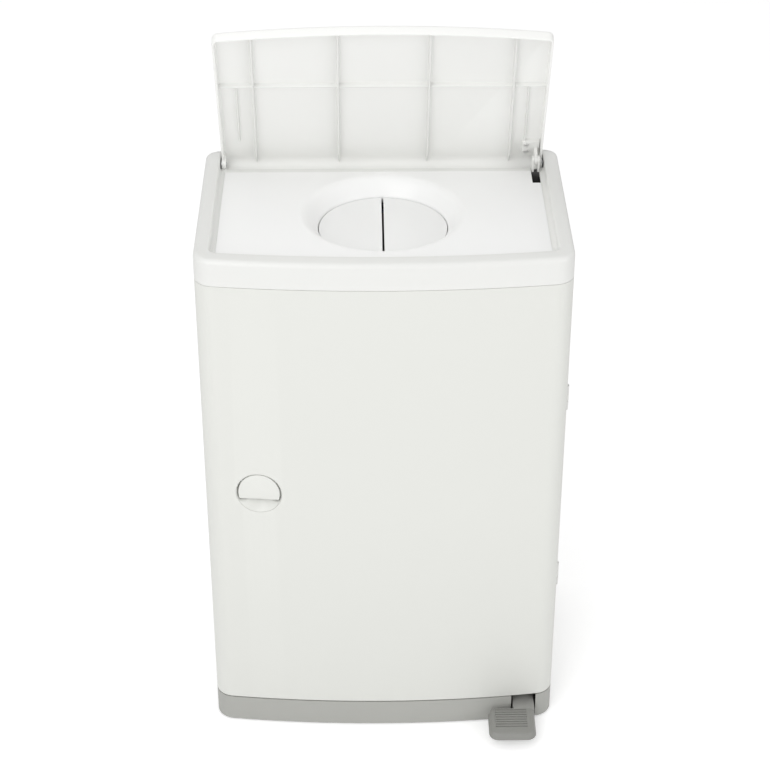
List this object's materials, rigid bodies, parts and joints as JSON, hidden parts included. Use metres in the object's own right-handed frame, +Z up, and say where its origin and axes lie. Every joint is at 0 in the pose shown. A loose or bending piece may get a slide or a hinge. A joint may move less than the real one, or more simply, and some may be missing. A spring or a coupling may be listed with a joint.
{
  "type": "pedal nappy bin",
  "caption": "Tall rounded nappy bin with a pedal-lifted lid, a two-flap funnel over a film cartridge, and a full-height front door with a round pull latch.",
  "frame": {"origin": "On the floor, at the middle of the overall width and depth, counted from the tip of the pedal's tread to the back of the casing.", "axes": "+Z is up. -Y is the front, where the door and the pedal are. +X is the right side as seen from the front, where the pedal and the door's hinges are."},
  "size_m": [0.3418, 0.2697, 0.7041],
  "materials": {
    "casing_white": "moulded, fine satin grain",
    "channel_grey": "moulded, dark satin",
    "frame_white": "moulded, fine satin grain",
    "deck_white": "moulded, fine satin grain",
    "flap_white": "moulded, smooth satin",
    "lid_white": "moulded, satin",
    "rod_white": "moulded, satin",
    "door_white": "moulded, satin with a soft sheen",
    "handle_white": "moulded, satin with a soft sheen",
    "base_grey": "moulded, light grey satin",
    "pedal_grey": "moulded, grey satin",
    "foot_rubber": "moulded soft rubber",
    "hinge_bush": "turned grey nylon",
    "seal_foam": "soft grey foam strip",
    "film": "thin pleated film",
    "steel": "zinc-plated"
  },
  "bodies": {
    "casing": {"body_shell": "casing_white", "base_plinth": "base_grey", "base_cover": "base_grey", "rubber_feet": "foot_rubber", "base_screws": "steel", "top_frame": "frame_white", "top_screws": "steel", "deck_panel": "deck_white", "lid_hinge_pins": "steel", "lid_hinge_bushes": "hinge_bush", "cartridge_shelf": "casing_white", "film_cartridge": "casing_white", "film_pack": "film", "cartridge_cap": "casing_white", "flap_pins": "steel", "flap_springs": "steel", "rod_channel": "channel_grey", "pedal_bearing": "base_grey", "pedal_pin": "steel", "door_hinge_pins": "steel", "door_seal": "seal_foam", "strike_plate": "steel"},
    "lid": {"lid": "lid_white", "crank_bracket": "lid_white", "bracket_screws": "steel", "crank_pin": "steel"},
    "rod": {"push_rod": "rod_white", "rod_pin": "steel"},
    "pedal": {"pedal": "pedal_grey", "pedal_lever": "steel", "lever_screws": "steel"},
    "door": {"door": "door_white", "handle_cup": "handle_white", "latch_housing": "door_white", "housing_screws": "steel", "paddle_pin": "steel", "latch_spring": "steel", "film_cutter": "door_white", "cutter_blade": "steel"},
    "paddle": {"handle_paddle": "handle_white"},
    "bolt": {"latch_bolt": "steel"},
    "flap_left": {"flap_left": "flap_white"},
    "flap_right": {"flap_right": "flap_white"}
  },
  "joints": [
    {"name": "lid_hinge", "type": "hinge", "parent": "casing", "child": "lid", "pos_m": [0, 0.11775, 0.5266], "axis": [1, 0, 0], "range_deg": [0, 62]},
    {"name": "rod_swing", "type": "hinge", "parent": "lid", "child": "rod", "pos_m": [0.14725, 0.10337, 0.53743], "axis": [1, 0, 0], "range_deg": [-62, 0]},
    {"name": "pedal_tip", "type": "hinge", "parent": "casing", "child": "pedal", "pos_m": [0.141, -0.03225, 0.0182], "axis": [1, 0, 0], "range_deg": [-7.91, 0]},
    {"name": "door_hinge", "type": "hinge", "parent": "casing", "child": "door", "pos_m": [0.169, -0.06525, 0.272], "axis": [0, 0, 1], "range_deg": [0, 110]},
    {"name": "bolt_slide", "type": "slide", "parent": "door", "child": "bolt", "axis": [1, 0, 0], "range_m": [0, 0.0065], "stiffness_N_per_m": 300, "springref_m": -0.004, "deforming": ["latch_spring"]},
    {"name": "paddle_tip", "type": "hinge", "parent": "door", "child": "paddle", "pos_m": [-0.11811, -0.08746, 0.2975], "axis": [-0.9952, 0.0978, 0], "range_deg": [0, 25]},
    {"name": "flap_left_hinge", "type": "hinge", "parent": "casing", "child": "flap_left", "pos_m": [-0.055, 0.02125, 0.503], "axis": [0, 1, 0], "range_deg": [0, 65], "stiffness_Nm_per_rad": 0.02, "springref_deg": -34.38},
    {"name": "flap_right_hinge", "type": "hinge", "parent": "casing", "child": "flap_right", "pos_m": [0.055, 0.02125, 0.503], "axis": [0, -1, 0], "range_deg": [0, 65], "stiffness_Nm_per_rad": 0.02, "springref_deg": -34.38}
  ],
  "couplings": [
    {"joint": "rod_swing", "follows": "lid_hinge", "ratio": -1},
    {"joint": "pedal_tip", "follows": "lid_hinge", "ratio": -0.12745},
    {"joint": "paddle_tip", "follows": "bolt_slide", "rad_per_m": 67.1}
  ]
}
